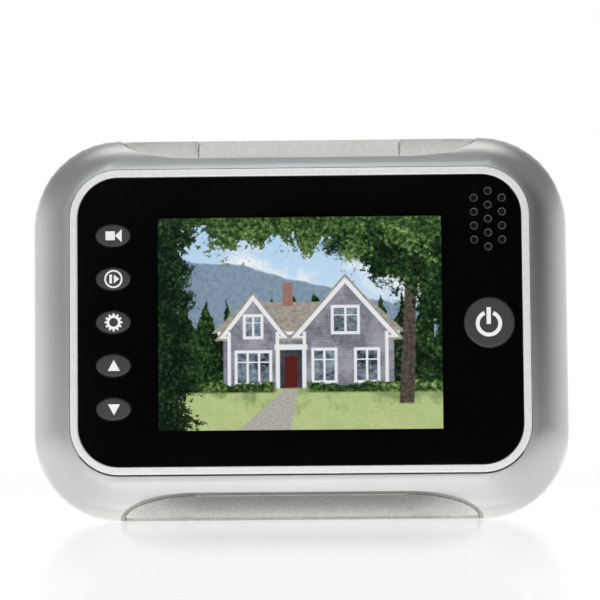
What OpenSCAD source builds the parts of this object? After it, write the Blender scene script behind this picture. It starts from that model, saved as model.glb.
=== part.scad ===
// Peephole door camera: an indoor monitor unit that hangs on a door bracket,
// and a camera barrel that a sleeve nut draws tight through the door.
// X runs to the right of the monitor, Y runs outward through the door, Z is up.
// The origin lies on the barrel's axis, in the door's inside face.

/* [Screen] */
// Width of the picture on the display
screen_w = 70.08; // [66:0.5:72]
// Height of the picture on the display
screen_h = 52.56; // [50:0.5:54]
// Border of the display module at its sides and top
screen_border = 3.4; // [3:0.1:3.6]
// Border of the display module at its connector edge
screen_foot = 7.9; // [6:0.1:8.2]
// Thickness of the display module
lcd_t = 3.2; // [2.8:0.1:4]

/* [Front] */
// Margin of the black front panel above the display
panel_head = 6.64; // [5:0.1:10]
// Margin of the front panel below the display
panel_foot = 0.9; // [0.8:0.1:3]
// Web left beside the speaker, which sets the panel's side margins
strip_web = 1.05; // [0.9:0.05:2]
// Corner radius of the front panel
panel_r = 10; // [8:0.5:12]
// Thickness of the front panel
panel_t = 1.8; // [1.5:0.1:2.4]
// Width of the raised ring round the panel
ring_w = 2; // [1.6:0.1:2.6]
// Rise of the ring's crest above the panel
ring_rise = 0.4; // [0.2:0.1:0.8]
// Rise of the ring's crest above the bezel
ring_proud = 0.5; // [0.3:0.1:0.9]
// Width of the bezel beside the ring
bezel_side = 9.75; // [8.5:0.25:12]
// Height of the bezel above the ring
bezel_top = 8.25; // [8:0.05:11]
// Height of the bezel below the ring
bezel_bottom = 11.55; // [11:0.05:13]
// Depth over which the bezel rounds back to the sides
bezel_round = 9; // [8.5:0.25:10]
// Straight skirt behind the rounding
bezel_skirt = 2; // [1:0.25:2.5]
// Wall of the bezel shell
bezel_wall = 1.6; // [1.4:0.1:1.8]
// Corner radius of the unit's outline
body_r = 21.5; // [19:0.5:23]

/* [Scoops] */
// Half length of the finger scoops along the top and bottom edges
scoop_half = 44.2; // [42:0.2:46]
// Length of the curved end of a scoop
scoop_end = 18; // [12:0.2:19]
// Depth of the top scoop below the unit's top
scoop_top = 5.1; // [4.6:0.05:5.6]
// Depth of the bottom scoop above the unit's bottom
scoop_bottom = 6.4; // [6:0.05:7.5]
// Slope of the scoop's floor
scoop_slope = 42; // [36:0.5:45]
// Lip that stands behind the bottom scoop's floor
scoop_lip = 0.7; // [0.4:0.1:1]

/* [Keys] */
// Width of an oval key
key_w = 8.56; // [7.5:0.1:8.8]
// Height of an oval key
key_h = 5.54; // [4.8:0.1:6]
// Spacing of the oval keys
key_pitch = 10.71; // [10.2:0.05:11]
// Shift of the key column toward the display from the middle of its strip
key_shift = 0.6; // [0:0.1:0.8]
// Height of the middle key relative to the panel's middle
key_lift = -0.1; // [-0.5:0.1:0.5]
// Diameter of the power key
power_d = 12.35; // [11:0.05:12.5]
// Height of the power key relative to the panel's middle
power_lift = -1; // [-1.5:0.1:0]
// Gap round a key in the panel
key_gap = 0.2; // [0.15:0.05:0.3]
// Rise of a key above the panel
key_rise = 0.5; // [0.3:0.1:0.8]
// Travel of a key
key_travel = 0.45; // [0.3:0.05:0.5]
// Diameter of a switch plunger
plunger_d = 2; // [1.6:0.1:2.4]

/* [Speaker] */
// Diameter of the speaker
speaker_d = 14; // [13:0.1:14.2]
// Depth of the speaker behind its gasket
speaker_t = 3.8; // [3:0.1:4]
// Distance of the speaker's centre below the panel's top
speaker_drop = 11; // [10:0.1:12]
// Diameter of a sound hole
hole_d = 1.6; // [1.2:0.1:1.9]
// Spacing of the sound holes
hole_pitch = 3.45; // [3:0.05:3.6]

/* [Board] */
// Thickness of the circuit board
board_t = 1.2; // [1:0.1:1.6]
// Gap between the display and the board, filled by pads
lcd_gap = 1.2; // [1:0.1:1.6]
// Gap between the board and the battery tray
board_gap = 1.6; // [1.5:0.1:2.4]
// Height of a switch body
switch_t = 1.9; // [1.7:0.1:2]
// Side of a switch body
switch_w = 4.5; // [4:0.1:5]

/* [Battery] */
// Diameter of a cell
cell_d = 10.5; // [10:0.1:12]
// Length of a cell without its nub
cell_l = 43.7; // [42:0.1:45]
// Spacing left between cells
cell_space = 0.4; // [0.3:0.1:0.6]
// Thickness of the battery cover
cover_t = 2; // [1.8:0.1:2.4]
// Running gap round the battery cover
cover_gap = 0.2; // [0.15:0.05:0.3]
// Travel that takes the cover off the top of the unit
cover_travel = 55; // [50:1:60]

/* [Rear case] */
// Wall of the rear case
case_wall = 2; // [1.8:0.1:2.4]
// Rounding of the rear edge
back_r = 3; // [2:0.25:3.5]
// Gap between the rear face and the door
door_gap = 0.6; // [0.4:0.1:1]

/* [Door bracket] */
// Width of the bracket plate
bracket_w = 54; // [48:1:58]
// Height of the bracket plate
bracket_h = 28; // [26:1:30]
// Thickness of the bracket's sheet steel
bracket_t = 1.2; // [1:0.1:1.6]
// Reach of the bracket's hooks out of its sides
hook_w = 4; // [3:0.25:5]
// Height of a hook
hook_h = 6; // [5:0.5:6.5]
// Lift that frees the unit from the hooks
lift_travel = 9; // [8.5:0.5:10]
// Running gap between the unit and the bracket
hang_gap = 0.3; // [0.2:0.05:0.4]
// Diameter of the bracket's wood screw holes
screw_hole_d = 4.2; // [3.5:0.1:5]
// Spacing of the bracket's wood screw holes
screw_hole_pitch = 38; // [34:1:42]

/* [Barrel] */
// Thickness of the door that the barrel goes through
door_t = 45; // [38:1:60]
// Outer diameter of the sleeve nut's tube
sleeve_d = 14; // [13.5:0.25:15]
// Length of the sleeve nut's tube past the door's inside face
sleeve_l = 32; // [26:1:34]
// Diameter of the sleeve nut's flange
sleeve_flange_d = 22; // [20:0.5:24]
// Thickness of the sleeve nut's flange
sleeve_flange_t = 2.2; // [1.8:0.1:2.6]
// Diameter of the camera's threaded stem
stem_d = 12; // [11.5:0.25:12.25]
// Radial running clearance of the stem, the sleeve and the plungers
run_clear = 0.06; // [0.03:0.01:0.09]
// Length of the camera's stem inside the door
stem_l = 35; // [30:1:36]
// Bore of the stem
stem_bore = 9.6; // [9:0.1:9.8]
// Diameter of the outside flange
flange_d = 32; // [28:1:36]
// Thickness of the outside flange
flange_t = 5; // [4:0.5:7]
// Thickness of the sealing washer
washer_t = 1; // [0.8:0.1:1.5]
// Diameter of the front lens
lens_d = 9; // [8:0.25:9.5]

/* [Hidden] */
$fn = 64;
corner_steps = 10;
slice = 0.02;
cut = 1;

// Stack of the unit from its rear face to the ring's crest
cell_gap = 0.4;
tray_t = 1.2;
lcd_front_gap = 0.1;
plate_t = 1.5;
y_back = -door_gap;
y_cover = y_back - cover_t;
y_cell = y_cover - cell_gap - cell_d / 2;
y_tray_back = y_cell - cell_d / 2 - cell_gap;
y_tray_front = y_tray_back - tray_t;
y_board_back = y_tray_front - board_gap;
y_board_front = y_board_back - board_t;
y_lcd_back = y_board_front - lcd_gap;
y_lcd_front = y_lcd_back - lcd_t;
y_panel_back = y_lcd_front - lcd_front_gap;
y_panel_front = y_panel_back - panel_t;
y_crest = y_panel_front - ring_rise;
y_bezel = y_crest + ring_proud;
y_plate_back = y_panel_back + plate_t;
y_part = y_bezel + bezel_round + bezel_skirt;
unit_t = y_back - y_crest;

// Outlines of the unit's front, about the unit's centre
part_gap = 0.1;
lcd_gap_side = 0.3;
lcd_w = screen_w + 2 * screen_border;
lcd_h = screen_h + screen_border + screen_foot;
strip_w = speaker_d + 2 * part_gap + 2 * strip_web;
panel_w = lcd_w + 2 * strip_w;
panel_h = lcd_h + panel_head + panel_foot;
ring_ow = panel_w + 2 * ring_w;
ring_oh = panel_h + 2 * ring_w;
ring_or = panel_r + ring_w;
body_w = ring_ow + 2 * bezel_side;
body_h = ring_oh + bezel_top + bezel_bottom;
top = body_h / 2;
panel_z = (bezel_bottom - bezel_top) / 2;
plate_lap = 1.2;
plate_ow = ring_ow + 2 * plate_lap;
plate_oh = ring_oh + 2 * plate_lap;
plate_or = ring_or + plate_lap;

// Tongue of the rear case inside the bezel, and the two cavities behind it
tongue_lap = 2.4;
tongue_wall = 1.6;
scoop_wall = 3.8;
cavity_in = 2;
slope_wall = 4.75;
shelf_wall = 5.75;
rear_corner = 4.5;
tongue_ow = ring_ow + 2 * tongue_lap;
tongue_oh = ring_oh + 2 * tongue_lap;
tongue_or = ring_or + tongue_lap;
step_t = 1.6;
y_step = y_part + step_t;
y_inner_back = y_back - case_wall;
front_cavity_w = tongue_ow - 2 * tongue_wall;
front_cavity_top = top - scoop_top - scoop_wall;
front_cavity_bottom = panel_z - tongue_oh / 2 + tongue_wall;
front_cavity_r = ring_or - cavity_in;
rear_cavity_w = body_w - 2 * case_wall;
rear_cavity_top = top - slope_wall;
rear_cavity_bottom = -top + shelf_wall;
rear_cavity_r = body_r - rear_corner;

// Scoops: each floor starts behind the bezel's curved wall with a narrow land
// that stands a little past the bezel's edge, then slopes out to the rear
land_l = 1;
land_rise = 0.25;
scoop_gap = 0.15;
fill_foot = 1.8;
edge_share = max((bezel_top - scoop_top + bezel_wall) / bezel_top,
                 (bezel_bottom - scoop_bottom + bezel_wall) / bezel_bottom);
edge_sag = bezel_round * (1 - sqrt(1 - pow(edge_share, 2)));
y_bezel_in = y_bezel + bezel_wall + edge_sag + part_gap;
y_land = y_bezel_in + land_l;
land_share = sqrt(1 - pow(1 - (y_land - y_bezel) / bezel_round, 2));
land_z_top = top - scoop_top + land_rise;
y_slope_end = y_land + (top - land_z_top) / tan(scoop_slope);

// Battery compartment, in the unit's own frame, under the slope of the top scoop
cell_count = 4;
contact_t = 0.5;
nub_d = 3.8;
nub_l = 0.8;
roof_t = 1.4;
tray_side = 5.8;
tray_foot = 1.6;
cell_step = cell_d + cell_space;
comp_w = cell_count * cell_step + cell_space;
tray_w = comp_w + 2 * tray_side;
slope_over_tray = min(top, land_z_top + (y_tray_front - y_land) * tan(scoop_slope));
comp_top = slope_over_tray - cover_t - cover_gap - roof_t;
cell_top = comp_top - contact_t;
cell_bottom = cell_top - nub_l - cell_l;
comp_bottom = cell_bottom - contact_t;
cover_lap = 3;
cover_w = comp_w + 2 * cover_lap;
cover_bottom = comp_bottom - tray_foot;
guide_w = 1;
guide_t = 0.9;
guide_stop = 3;
guide_top = top - back_r - guide_stop;

// Bracket, and the pocket in the rear case that takes it
web_d = 4.2;
hook_t = bracket_t;
hook_inset = 4;
hook_space = 10;
hook_top = bracket_h / 2 - hook_inset;
hook_drop = hook_h + hook_space;
pocket_w = bracket_w + 2 * hook_w + 4 * hang_gap;
mouth_w = bracket_w + 3 * hang_gap;
pocket_top = bracket_h / 2 + hang_gap;
pocket_bottom = -bracket_h / 2 - lift_travel - 2 * hang_gap;
pocket_room = 2;
pocket_depth = web_d + pocket_room;
pocket_wall = 1.5;
rail_y = -web_d + hook_t + hang_gap;
notch_gap = 0.4;
unit_z = pocket_top + tray_foot - comp_bottom;

// Places on the front: the keys and the speaker stand in the strips beside the display
strip_x = (lcd_w + strip_w) / 2;
key_x = -strip_x + key_shift;
key_z = panel_z + key_lift;
power_x = strip_x;
power_z = panel_z + power_lift;
speaker_x = strip_x;
speaker_z = panel_z + panel_h / 2 - speaker_drop;
lcd_z = panel_z - panel_h / 2 + panel_foot + lcd_h / 2;
key_flange = 0.62;
key_flange_t = 0.7;
power_flange = 0.45;
pocket_gap = 0.33;
KEY_NAMES = ["record", "play", "settings", "up", "down"];
KEY_PLACES = [for (k = [2 : -1 : -2]) [key_x, key_z + k * key_pitch]];
SWITCH_PLACES = concat(KEY_PLACES, [[power_x, power_z]]);

// Screws and posts
screw_inset = 2.6;
case_screw_x = panel_w / 2 - screw_inset;
case_screw_z = panel_h / 2 - screw_inset;
CASE_SCREWS = [for (sx = [-1, 1], sz = [-1, 1]) [sx * case_screw_x, panel_z + sz * case_screw_z]];
boss_d = 4.6;
boss_bore = 2;
case_boss_d = 7;
screw_head_d = 4.4;
screw_head_t = 1.8;
screw_shank_d = 1.9;
sink_d = 5;
sink_depth = 5.5;
boss_past_board = 2;
shank_gap = 0.4;
y_boss_meet = y_board_back + boss_past_board;
post_d = 4;
post_bore = 1.5;
post_step = 6.2;
post_drop = 14;
post_edge = 2;
board_screw_d = 1.4;
board_head_d = 3.4;
board_head_t = 1.1;
board_hole_gap = 0.2;
board_screw_end = 0.5;
BOARD_SCREWS = [
    [key_x, key_z + 2 * key_pitch + post_step],
    [key_x, key_z - 2 * key_pitch - post_step],
    [power_x, (speaker_z - speaker_d / 2 + power_z + power_d / 2) / 2],
    [power_x, power_z - power_d / 2 - post_drop]
];
board_inset = 3.75;
board_w = panel_w - 2 * board_inset;
board_top = key_z + 2 * key_pitch + post_step + post_edge;
board_bottom = key_z - 2 * key_pitch - post_step - post_edge;

// Shapes that several pieces share

// A flat outline in the front view, carried from y0 back to y1
module slab(y0, y1) {
    translate([0, y1, 0]) rotate([90, 0, 0]) linear_extrude(y1 - y0) children();
}

// A round bar along Y
module rod(d, y0, y1) {
    translate([0, y1, 0]) rotate([90, 0, 0]) cylinder(d = d, h = y1 - y0);
}

// A side-view outline (Y, Z) carried across X
module across(w) {
    rotate([90, 0, 90]) translate([0, 0, -w / 2]) linear_extrude(w) children();
}

// A turned piece: its outline holds the radius and the place along Y
module turned() {
    rotate([-90, 0, 0]) rotate_extrude() children();
}

module rounded(w, h, r, z = 0) {
    translate([0, z]) {
        square([w - 2 * r, h], center = true);
        square([w, h - 2 * r], center = true);
        for (sx = [-1, 1], sz = [-1, 1])
            translate([sx * (w / 2 - r), sz * (h / 2 - r)]) circle(r);
    }
}

module between(w, z0, z1) {
    translate([-w / 2, z0]) square([w, z1 - z0]);
}

function blend(a, b, t) = a + (b - a) * t;

function oval(w, h) = [for (t = [0 : 7.5 : 352.5]) [w / 2 * cos(t), h / 2 * sin(t)]];

// Edge of a scoop: straight in the middle, with a quarter ellipse at each end
function scoop_edge(half, depth) = [
    for (t = [0 : 7.5 : 90])
        [half - scoop_end + scoop_end * sin(t), -depth * cos(t)]
];

// Outline of a scoop, seen from the front and measured from the edge that it opens
module scoop_outline(half, depth, reach) {
    right = scoop_edge(half, depth);
    left = [for (i = [len(right) - 1 : -1 : 0]) [-right[i][0], right[i][1]]];
    polygon(concat(left, right, [[half, reach], [-half, reach]]));
}

module unit() {
    translate([0, 0, unit_z]) children();
}

// Points of a rounded outline, anticlockwise as seen from the front
function ring_points(w, h, r, z, y) = [
    for (q = [0 : 3], i = [0 : corner_steps])
        let (a = 90 * (q + i / corner_steps), sx = q == 0 || q == 3 ? 1 : -1, sz = q < 2 ? 1 : -1)
            [sx * (w / 2 - r) + r * cos(a), y, z + sz * (h / 2 - r) + r * sin(a)]
];

// A closed skin over outlines that lie one behind the other
module skin(rings) {
    n = len(rings[0]);
    last = len(rings) - 1;
    sides = [
        for (k = [0 : last - 1], i = [0 : n - 1], half = [0, 1])
            let (a = k * n + i, b = k * n + (i + 1) % n)
                half == 0 ? [a, b, b + n] : [a, b + n, a + n]
    ];
    front = [[for (i = [n - 1 : -1 : 0]) i]];
    back = [[for (i = [0 : n - 1]) last * n + i]];
    polyhedron(points = [for (ring = rings) each ring], faces = concat(front, sides, back));
}

// Bezel skin: outlines that grow from the ring to the sides along a quarter ellipse
function bezel_ring(a, inset) =
    let (f = sin(a))
        ring_points(blend(ring_ow, body_w, f) - 2 * inset, blend(ring_oh, body_h, f) - 2 * inset,
                    blend(ring_or, body_r, f) - inset, blend(panel_z, 0, f),
                    y_bezel + inset + bezel_round * (1 - cos(a)));

module bezel_skin(inset, reach) {
    skin(concat(
        [for (a = [0 : 9 : 90]) bezel_ring(a, inset)],
        [ring_points(body_w - 2 * inset, body_h - 2 * inset, body_r - inset, 0, y_part + reach)]
    ));
}

// Front of the unit

module bezel_frame() {
    color("silver") unit() difference() {
        bezel_skin(0, 0);
        bezel_skin(bezel_wall, cut);
        slab(y_bezel - cut, y_part)
            rounded(ring_ow + 2 * part_gap, ring_oh + 2 * part_gap, ring_or + part_gap, panel_z);
        slab(y_panel_back - part_gap, y_part)
            rounded(plate_ow + 2 * part_gap, plate_oh + 2 * part_gap, plate_or + part_gap, panel_z);
        slab(y_bezel - cut, y_part + cut)
            translate([0, top]) scoop_outline(scoop_half, scoop_top, cut);
        slab(y_bezel - cut, y_part + cut)
            translate([0, -top]) mirror([0, 1]) scoop_outline(scoop_half, scoop_bottom, cut);
    }
}

module front_housing() {
    color("gainsboro") unit() {
        difference() {
            union() {
                slab(y_crest, y_panel_back) rounded(ring_ow, ring_oh, ring_or, panel_z);
                slab(y_panel_back, y_plate_back) rounded(plate_ow, plate_oh, plate_or, panel_z);
                for (p = CASE_SCREWS)
                    translate([p[0], 0, p[1]]) rod(boss_d, y_plate_back - slice, y_boss_meet);
                for (p = BOARD_SCREWS)
                    translate([p[0], 0, p[1]]) rod(post_d, y_plate_back - slice, y_board_front);
            }
            slab(y_crest - cut, y_panel_back)
                rounded(panel_w + 2 * part_gap, panel_h + 2 * part_gap, panel_r + part_gap, panel_z);
            slab(y_panel_back - cut, y_plate_back + cut)
                translate([0, lcd_z])
                    square([lcd_w + 2 * lcd_gap_side, lcd_h + 2 * lcd_gap_side], center = true);
            for (p = KEY_PLACES)
                slab(y_panel_back - cut, y_plate_back + cut)
                    translate(p) polygon(oval(key_w + 2 * (key_flange + pocket_gap),
                                              key_h + 2 * (key_flange + pocket_gap)));
            translate([power_x, 0, power_z])
                rod(power_d + 2 * (power_flange + pocket_gap), y_panel_back - cut, y_plate_back + cut);
            translate([speaker_x, 0, speaker_z])
                rod(speaker_d + 2 * part_gap, y_panel_back - cut, y_plate_back + cut);
            for (p = CASE_SCREWS)
                translate([p[0], 0, p[1]]) rod(boss_bore, y_plate_back, y_boss_meet + cut);
            for (p = BOARD_SCREWS)
                translate([p[0], 0, p[1]]) rod(post_bore, y_plate_back, y_board_front + cut);
        }
    }
}

module front_panel() {
    color("black") unit() difference() {
        slab(y_panel_front, y_panel_back) rounded(panel_w, panel_h, panel_r, panel_z);
        for (p = KEY_PLACES)
            slab(y_panel_front - cut, y_panel_back + cut)
                translate(p) polygon(oval(key_w + 2 * key_gap, key_h + 2 * key_gap));
        translate([power_x, 0, power_z])
            rod(power_d + 2 * key_gap, y_panel_front - cut, y_panel_back + cut);
        for (col = [-1 : 1], row = [0 : 3 + (col == 0 ? 1 : 0)])
            translate([speaker_x + col * hole_pitch, 0,
                       speaker_z + (row - (col == 0 ? 2 : 1.5)) * hole_pitch])
                rod(hole_d, y_panel_front - cut, y_panel_back + cut);
    }
}

// Display

glass_t = 1.1;
glass_rim = 0.6;

module lcd_frame() {
    color("dimgray") unit() difference() {
        slab(y_lcd_front, y_lcd_back) translate([0, lcd_z]) square([lcd_w, lcd_h], center = true);
        slab(y_lcd_front - cut, y_lcd_front + glass_t)
            translate([0, lcd_z]) square([lcd_w - 2 * glass_rim, lcd_h - 2 * glass_rim], center = true);
    }
}

module lcd_glass() {
    color("darkslategray") unit()
        slab(y_lcd_front, y_lcd_front + glass_t)
            translate([0, lcd_z]) square([lcd_w - 2 * glass_rim, lcd_h - 2 * glass_rim], center = true);
}

pad_w = 5;
pad_l = 40;

module lcd_pads() {
    color("dimgray") unit()
        for (sx = [-1, 1])
            slab(y_lcd_back, y_board_front)
                translate([sx * lcd_w / 3, lcd_z]) square([pad_w, pad_l], center = true);
}

// Circuit board and what it carries

module main_board() {
    color("darkgreen") unit() difference() {
        slab(y_board_front, y_board_back) between(board_w, board_bottom, board_top);
        for (p = BOARD_SCREWS)
            translate([p[0], 0, p[1]])
                rod(board_screw_d + board_hole_gap, y_board_front - cut, y_board_back + cut);
    }
}

// Chips and capacitors stand in a row along the board's lower edge
chip_rise = 10;
chip_z = board_bottom + chip_rise;
processor_x = -18;
processor_w = 12;
processor_t = 1.4;
memory_x = 16;
memory_w = 12;
memory_h = 8;
memory_t = 1.2;
capacitor_d = 6.3;
capacitor_l = 6;
CAPACITOR_X = [-34, 30];

module chip(x, w, h, t) {
    unit() slab(y_board_back, y_board_back + t) translate([x, chip_z]) square([w, h], center = true);
}

module processor() {
    color("black") chip(processor_x, processor_w, processor_w, processor_t);
}

module memory_chip() {
    color("black") chip(memory_x, memory_w, memory_h, memory_t);
}

module capacitor(x) {
    color("lightsteelblue") unit()
        translate([x, 0, chip_z]) rod(capacitor_d, y_board_back, y_board_back + capacitor_l);
}

socket_w = 12;
socket_h = 5;
socket_l = 6;
socket_wall = 0.8;
aperture_gap = 1;

module camera_socket() {
    color("ivory") unit() difference() {
        slab(y_board_back, y_board_back + socket_l)
            translate([0, -unit_z]) square([socket_w, socket_h], center = true);
        slab(y_board_back + socket_wall, y_board_back + socket_l + cut)
            translate([0, -unit_z])
                square([socket_w - 2 * socket_wall, socket_h - 2 * socket_wall], center = true);
    }
}

// Keys: a cap through the panel, a flange behind it and a short stem onto the switch plunger

switch_floor = 0.2;
plunger_proud = 0.7;
plunger_room = 0.2;
y_switch = y_board_front - switch_t;
y_stem = y_switch - plunger_proud;
y_key_flange = y_panel_back + part_gap;
plunger_sunk = switch_t - switch_floor - plunger_room - key_travel;
stem_key_d = 3;

module switch_body(p) {
    color("silver") unit() translate([p[0], 0, p[1]]) difference() {
        slab(y_switch, y_board_front) square([switch_w, switch_w], center = true);
        rod(plunger_d + 2 * run_clear, y_switch - cut, y_board_front - switch_floor);
    }
}

module plunger(p) {
    color("black") unit()
        translate([p[0], 0, p[1]]) rod(plunger_d, y_stem, y_switch + plunger_sunk);
}

module key_stem(p) {
    translate([p[0], 0, p[1]]) rod(stem_key_d, y_key_flange + key_flange_t - slice, y_stem);
}

// Rounding of a key's crown: its height, and how far it draws in the edge
crown = 0.35;
crown_in = 0.7;

module oval_key(p) {
    color("dimgray") unit() {
        translate([p[0], 0, p[1]]) {
            hull() {
                for (a = [0 : 30 : 90]) {
                    y = y_panel_front - key_rise + crown * (1 - sin(a));
                    inset = crown_in * (1 - cos(a));
                    slab(y, y + slice) polygon(oval(key_w - 2 * inset, key_h - 2 * inset));
                }
                slab(y_key_flange - slice, y_key_flange) polygon(oval(key_w, key_h));
            }
            slab(y_key_flange, y_key_flange + key_flange_t)
                polygon(oval(key_w + 2 * key_flange, key_h + 2 * key_flange));
        }
        key_stem(p);
    }
}

module key_power() {
    color("dimgray") unit() {
        translate([power_x, 0, power_z]) turned() polygon(concat(
            [[0, y_panel_front - key_rise]],
            [for (a = [90 : -30 : 0])
                [power_d / 2 - crown_in * (1 - cos(a)), y_panel_front - key_rise + crown * (1 - sin(a))]],
            [[power_d / 2, y_key_flange],
             [power_d / 2 + power_flange, y_key_flange],
             [power_d / 2 + power_flange, y_key_flange + key_flange_t],
             [0, y_key_flange + key_flange_t]]
        ));
        key_stem([power_x, power_z]);
    }
}

// Speaker

gasket_t = 0.2;
gasket_w = 1.2;
basket_wall = 0.8;
basket_floor = 0.6;
cone_t = 0.4;
cone_sunk = 0.5;
magnet_d = 8;
magnet_gap = 0.9;
y_speaker = y_panel_back + gasket_t;
y_speaker_back = y_speaker + speaker_t;

module at_speaker() {
    unit() translate([speaker_x, 0, speaker_z]) children();
}

module speaker_basket() {
    color("darkgray") at_speaker() difference() {
        rod(speaker_d, y_speaker, y_speaker_back);
        rod(speaker_d - 2 * basket_wall, y_speaker - cut, y_speaker_back - basket_floor);
    }
}

module speaker_cone() {
    color("black") at_speaker()
        rod(speaker_d - 2 * basket_wall, y_speaker + cone_sunk, y_speaker + cone_sunk + cone_t);
}

module speaker_magnet() {
    color("gray") at_speaker()
        rod(magnet_d, y_speaker + cone_sunk + cone_t + magnet_gap, y_speaker_back - basket_floor);
}

module speaker_gasket() {
    color("black") at_speaker() difference() {
        rod(speaker_d, y_panel_back, y_speaker);
        rod(speaker_d - 2 * gasket_w, y_panel_back - cut, y_speaker + cut);
    }
}

// Rear case

module tub() {
    skin(concat(
        [ring_points(body_w, body_h, body_r, 0, y_part)],
        [for (a = [0 : 15 : 90])
            let (inset = back_r * (1 - cos(a)))
                ring_points(body_w - 2 * inset, body_h - 2 * inset, body_r - inset, 0,
                            y_back - back_r + back_r * sin(a))]
    ));
}

// The part of the rear case that fills a scoop up to the bezel's edge
module scoop_fill(depth) {
    slab(y_bezel_in, y_part) {
        translate([0, top]) scoop_outline(scoop_half - scoop_gap, depth - scoop_gap, 0);
        between(2 * (scoop_half - scoop_end), top - depth - fill_foot, top);
    }
}

// What a scoop takes away: straight over its land, then out along its floor, and above
// a line that keeps its ends under the bezel's rounding and leaves the lip
module scoop_cut(depth, lip, bezel_h) {
    half = scoop_half + scoop_gap;
    sunk = depth - land_rise;
    tilted = sunk * cos(scoop_slope);
    drop = bezel_h * (1 - land_share);
    y_end = y_land + (sunk - lip) / tan(scoop_slope);
    translate([0, 0, top]) {
        slab(y_bezel - cut, y_land) scoop_outline(half, sunk, cut);
        translate([0, y_land, -sunk]) rotate([scoop_slope, 0, 0])
            slab(0, (sunk - lip) / sin(scoop_slope))
                translate([0, tilted]) scoop_outline(half, tilted, depth);
        across(2 * half)
            polygon([[y_bezel - cut, -drop], [y_land, -drop], [y_end, -lip], [y_end, cut],
                     [y_bezel - cut, cut]]);
    }
}

function cover_outline(gap) = concat(
    [[y_land + cover_gap - gap, land_z_top + (cover_gap - gap) * tan(scoop_slope) + gap * 2],
     [y_slope_end, top + gap * 2]],
    [for (a = [0 : 15 : 90])
        [y_back - back_r + back_r * sin(a) + gap * 2, top - back_r + back_r * cos(a) + gap * 2]],
    [[y_back + gap * 2, cover_bottom - gap],
     [y_cover - gap, cover_bottom - gap],
     [y_cover - gap, top - cover_t - gap],
     [y_slope_end, top - cover_t - gap],
     [y_land + cover_gap - gap, land_z_top - cover_t - gap]]
);

module cover_guides(gap, end) {
    for (sx = [-1, 1])
        slab(y_cover - gap, y_cover + guide_t + gap)
            translate([sx * cover_w / 2, 0]) between(2 * (guide_w + gap), cover_bottom - gap, end);
}

module rear_case() {
    color("lightgray") unit() difference() {
        union() {
            difference() {
                union() {
                    tub();
                    slab(y_plate_back, y_part) rounded(tongue_ow, tongue_oh, tongue_or, panel_z);
                    scoop_fill(scoop_top);
                    mirror([0, 0, 1]) scoop_fill(scoop_bottom);
                }
                slab(y_plate_back - cut, y_step)
                    rounded(front_cavity_w, front_cavity_top - front_cavity_bottom,
                            front_cavity_r, (front_cavity_top + front_cavity_bottom) / 2);
                slab(y_step, y_inner_back)
                    rounded(rear_cavity_w, rear_cavity_top - rear_cavity_bottom,
                            rear_cavity_r, (rear_cavity_top + rear_cavity_bottom) / 2);
            }
            slab(y_tray_front, y_inner_back) between(tray_w, cover_bottom, top - case_wall);
            slab(-pocket_depth - pocket_wall, y_inner_back)
                translate([0, -unit_z])
                    between(pocket_w + 2 * pocket_wall, pocket_bottom - pocket_wall, pocket_top + tray_foot);
            for (p = CASE_SCREWS)
                translate([p[0], 0, p[1]]) rod(case_boss_d, y_boss_meet, y_inner_back + slice);
        }
        scoop_cut(scoop_top, 0, bezel_top);
        mirror([0, 0, 1]) scoop_cut(scoop_bottom, scoop_lip, bezel_bottom);
        // Battery compartment and the seat of its cover
        slab(y_tray_back, y_back + cut) between(comp_w, comp_bottom, comp_top);
        across(cover_w + 2 * cover_gap) polygon(cover_outline(cover_gap));
        cover_guides(cover_gap, top + cut);
        // Pocket for the bracket, with a mouth that its hooks pass through when the unit is lifted
        translate([0, 0, -unit_z]) {
            slab(-pocket_depth, rail_y) between(pocket_w, pocket_bottom, pocket_top);
            slab(-pocket_depth, y_back + cut) between(mouth_w, pocket_bottom, pocket_top);
            for (z = [hook_top, hook_top - hook_drop])
                slab(rail_y - slice, y_back + cut)
                    between(pocket_w, z - hook_h - lift_travel - notch_gap, z - lift_travel + notch_gap);
            slab(-pocket_depth - pocket_wall - cut, -pocket_depth + slice)
                square([socket_w + 2 * aperture_gap, socket_h + 2 * aperture_gap], center = true);
        }
        // Sunk screw holes
        for (p = CASE_SCREWS)
            translate([p[0], 0, p[1]]) {
                rod(sink_d, y_back - sink_depth, y_back + cut);
                rod(screw_shank_d + shank_gap, y_boss_meet - cut, y_back);
            }
    }
}

screw_end = 2;

module case_screw(i) {
    color("dimgray") unit() translate([CASE_SCREWS[i][0], 0, CASE_SCREWS[i][1]]) {
        rod(screw_head_d, y_back - sink_depth, y_back - sink_depth + screw_head_t);
        rod(screw_shank_d, y_plate_back + screw_end, y_back - sink_depth + slice);
    }
}

module board_screw(i) {
    color("dimgray") unit() translate([BOARD_SCREWS[i][0], 0, BOARD_SCREWS[i][1]]) {
        rod(board_head_d, y_board_back, y_board_back + board_head_t);
        rod(board_screw_d, y_plate_back + board_screw_end, y_board_back + slice);
    }
}

// Cells stand side by side, every other one upside down

function cell_x(i) = (i - (cell_count - 1) / 2) * cell_step;

module cell(i) {
    flip = i % 2;
    color("seagreen") unit()
        translate([cell_x(i), y_cell, flip ? cell_top + cell_bottom : 0]) mirror([0, 0, flip]) {
            translate([0, 0, cell_bottom]) cylinder(d = cell_d, h = cell_l);
            translate([0, 0, cell_bottom + cell_l - slice]) cylinder(d = nub_d, h = nub_l + slice);
        }
}

contact_w = 8;

// A flat contact strip from one cell to the next, or under one cell alone
module strip(i, j, z) {
    translate([(cell_x(i) + cell_x(j)) / 2, y_cell, z + contact_t / 2])
        cube([cell_x(j) - cell_x(i) + contact_w, contact_w, contact_t], center = true);
}

module contacts_top() {
    color("silver") unit() {
        strip(0, 1, cell_top);
        strip(2, 3, cell_top);
    }
}

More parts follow.
